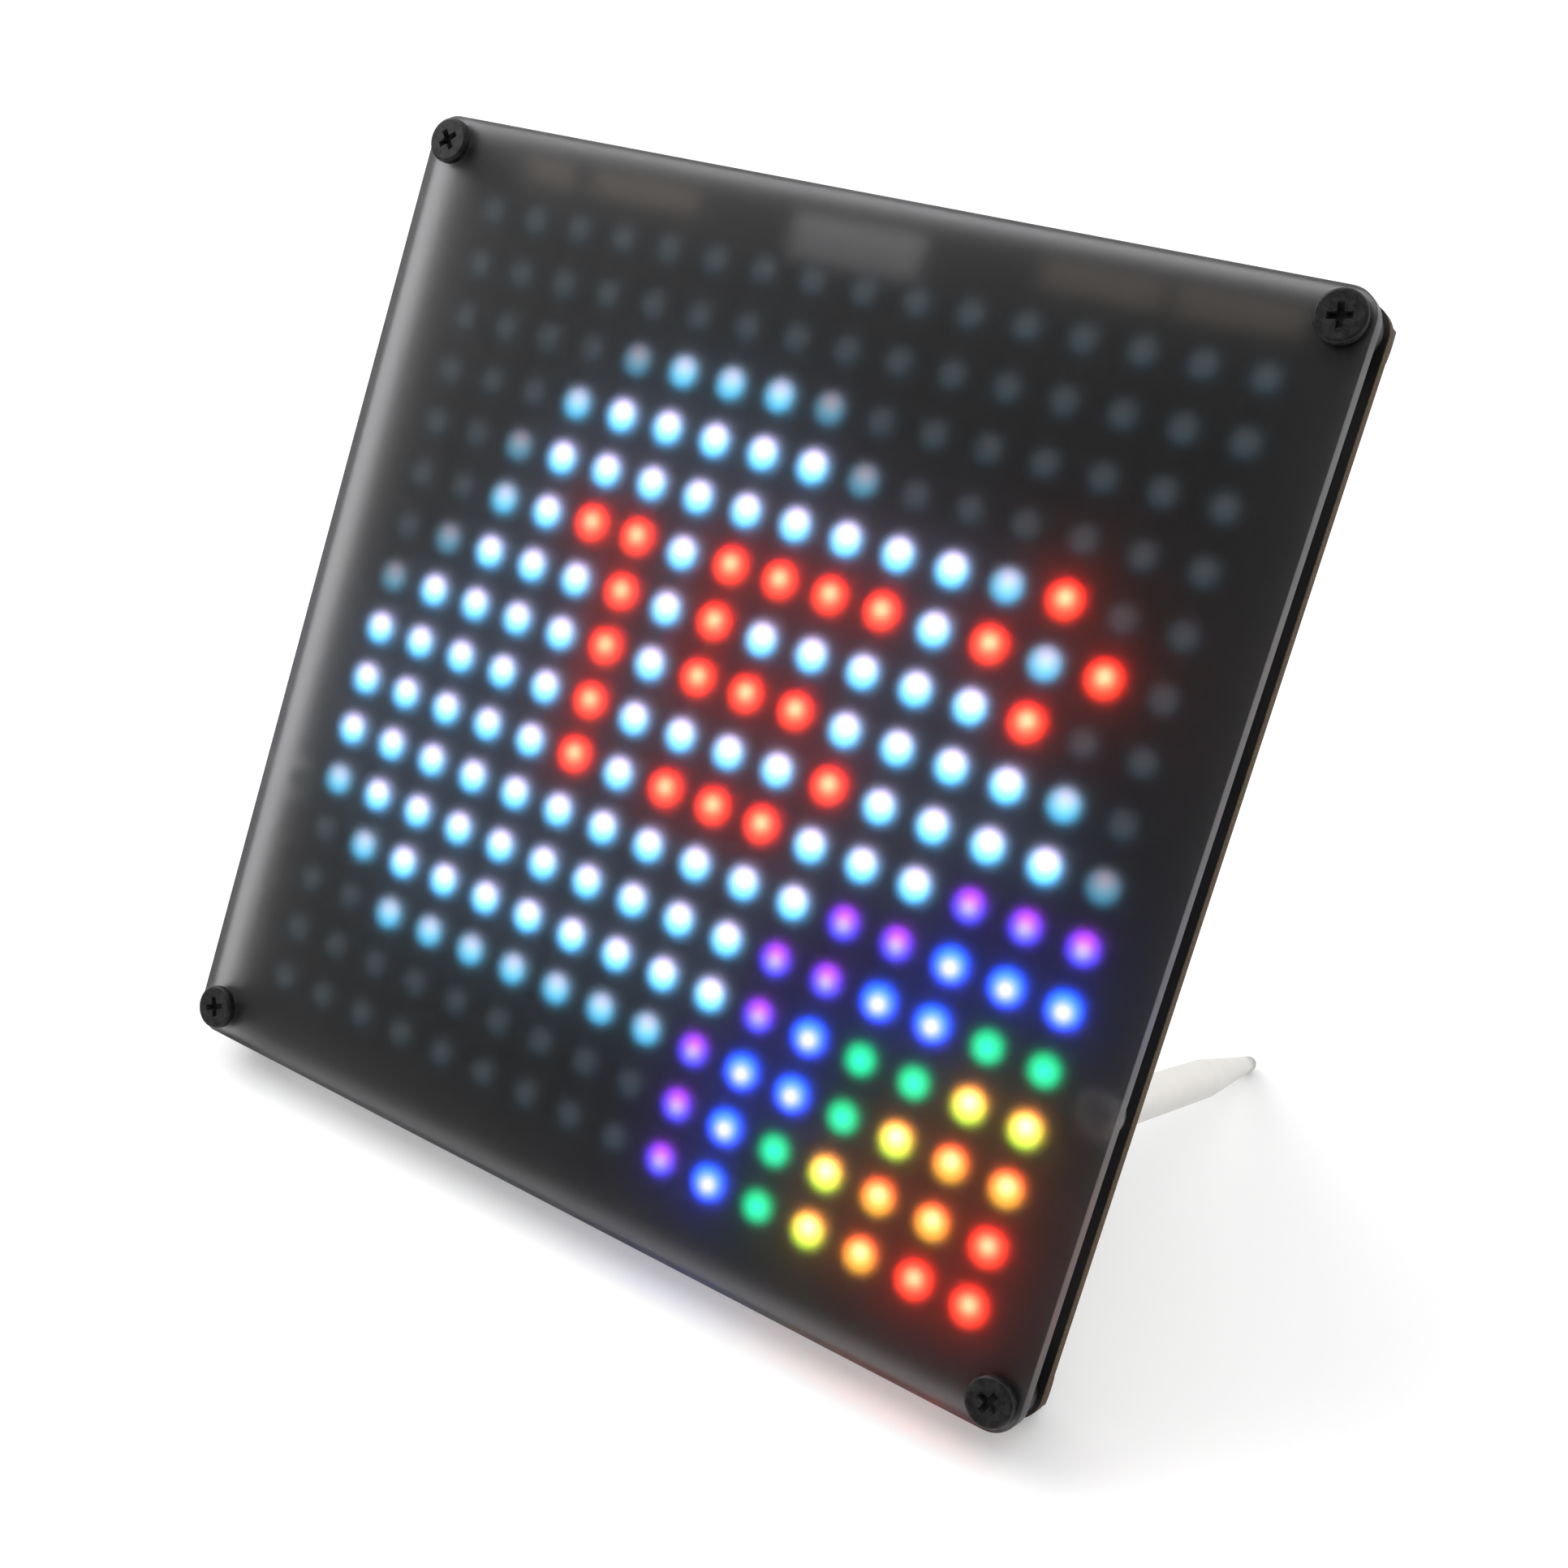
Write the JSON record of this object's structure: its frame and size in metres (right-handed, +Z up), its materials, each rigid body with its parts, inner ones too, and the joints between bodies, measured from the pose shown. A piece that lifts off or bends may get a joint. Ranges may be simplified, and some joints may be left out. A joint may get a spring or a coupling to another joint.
{
  "type": "led matrix display panel",
  "caption": "Square pixel display: a smoked diffuser plate screwed over a board of colour LEDs, leaning back on spike legs, with push buttons and a controller board behind.",
  "frame": {"origin": "on the table, under the middle of the display's bounding box", "axes": "+Z up, +X to the display's right as its front is looked at, the lit front facing -Y and leaning back"},
  "size_m": [0.1076, 0.0658, 0.0959],
  "materials": {
    "smoked_acrylic": "smoked, satin",
    "black_nylon": "moulded, satin",
    "black_board": "satin solder mask",
    "green_board": "satin solder mask",
    "led_package": "black faced, frosted lens",
    "sensor_clear": "glossy",
    "leg_metal": "satin",
    "screw_steel": "zinc plated",
    "tin_plate": "bright tin plate",
    "chip_resin": "moulded, matte",
    "switch_black": "moulded, satin",
    "button_ivory": "moulded, satin",
    "socket_ivory": "moulded, matte",
    "speaker_paper": "matte"
  },
  "bodies": {
    "panel": {"diffuser": "smoked_acrylic", "matrix_board": "black_board", "screw_top_left": "black_nylon", "screw_top_right": "black_nylon", "screw_bottom_left": "black_nylon", "screw_bottom_right": "black_nylon", "spacer_top_left": "black_nylon", "spacer_top_right": "black_nylon", "spacer_bottom_left": "black_nylon", "spacer_bottom_right": "black_nylon", "nut_top_left": "black_nylon", "nut_top_right": "black_nylon", "nut_bottom_left": "black_nylon", "nut_bottom_right": "black_nylon", "leds_top_left": "led_package", "leds_top_right": "led_package", "leds_bottom_left": "led_package", "leds_bottom_right": "led_package", "light_sensor": "sensor_clear", "leg_left": "leg_metal", "leg_right": "leg_metal", "leg_screw_left": "screw_steel", "leg_screw_right": "screw_steel", "switch_a": "switch_black", "switch_b": "switch_black", "switch_c": "switch_black", "switch_d": "switch_black", "switch_sleep": "switch_black", "switch_volume_up": "switch_black", "switch_volume_down": "switch_black", "switch_brighter": "switch_black", "switch_dimmer": "switch_black", "switch_reset": "switch_black", "switch_boot": "switch_black", "controller_board": "green_board", "radio_shield": "tin_plate", "processor_chip": "chip_resin", "usb_socket": "tin_plate", "speaker_frame": "switch_black", "speaker_cone": "speaker_paper", "led_driver_1": "chip_resin", "led_driver_2": "chip_resin", "led_driver_3": "chip_resin", "led_driver_4": "chip_resin", "amplifier_chip": "chip_resin", "battery_socket": "socket_ivory", "sensor_socket_1": "socket_ivory", "sensor_socket_2": "socket_ivory"},
    "plunger_a": {"button_a": "button_ivory"},
    "plunger_b": {"button_b": "button_ivory"},
    "plunger_c": {"button_c": "button_ivory"},
    "plunger_d": {"button_d": "button_ivory"},
    "plunger_sleep": {"button_sleep": "button_ivory"},
    "plunger_volume_up": {"button_volume_up": "button_ivory"},
    "plunger_volume_down": {"button_volume_down": "button_ivory"},
    "plunger_brighter": {"button_brighter": "button_ivory"},
    "plunger_dimmer": {"button_dimmer": "button_ivory"},
    "plunger_reset": {"button_reset": "button_ivory"},
    "plunger_boot": {"button_boot": "button_ivory"}
  },
  "joints": [
    {"name": "press_a", "type": "slide", "parent": "panel", "child": "plunger_a", "axis": [0, -0.8518, 0.5238], "range_m": [0, 0.00025], "stiffness_N_per_m": 2000},
    {"name": "press_b", "type": "slide", "parent": "panel", "child": "plunger_b", "axis": [0, -0.8518, 0.5238], "range_m": [0, 0.00025], "stiffness_N_per_m": 2000},
    {"name": "press_c", "type": "slide", "parent": "panel", "child": "plunger_c", "axis": [0, -0.8518, 0.5238], "range_m": [0, 0.00025], "stiffness_N_per_m": 2000},
    {"name": "press_d", "type": "slide", "parent": "panel", "child": "plunger_d", "axis": [0, -0.8518, 0.5238], "range_m": [0, 0.00025], "stiffness_N_per_m": 2000},
    {"name": "press_sleep", "type": "slide", "parent": "panel", "child": "plunger_sleep", "axis": [0, -0.8518, 0.5238], "range_m": [0, 0.00025], "stiffness_N_per_m": 2000},
    {"name": "press_volume_up", "type": "slide", "parent": "panel", "child": "plunger_volume_up", "axis": [0, -0.8518, 0.5238], "range_m": [0, 0.00025], "stiffness_N_per_m": 2000},
    {"name": "press_volume_down", "type": "slide", "parent": "panel", "child": "plunger_volume_down", "axis": [0, -0.8518, 0.5238], "range_m": [0, 0.00025], "stiffness_N_per_m": 2000},
    {"name": "press_brighter", "type": "slide", "parent": "panel", "child": "plunger_brighter", "axis": [0, -0.8518, 0.5238], "range_m": [0, 0.00025], "stiffness_N_per_m": 2000},
    {"name": "press_dimmer", "type": "slide", "parent": "panel", "child": "plunger_dimmer", "axis": [0, -0.8518, 0.5238], "range_m": [0, 0.00025], "stiffness_N_per_m": 2000},
    {"name": "press_reset", "type": "slide", "parent": "panel", "child": "plunger_reset", "axis": [0, -0.8518, 0.5238], "range_m": [0, 0.00025], "stiffness_N_per_m": 2000},
    {"name": "press_boot", "type": "slide", "parent": "panel", "child": "plunger_boot", "axis": [0, -0.8518, 0.5238], "range_m": [0, 0.00025], "stiffness_N_per_m": 2000}
  ]
}
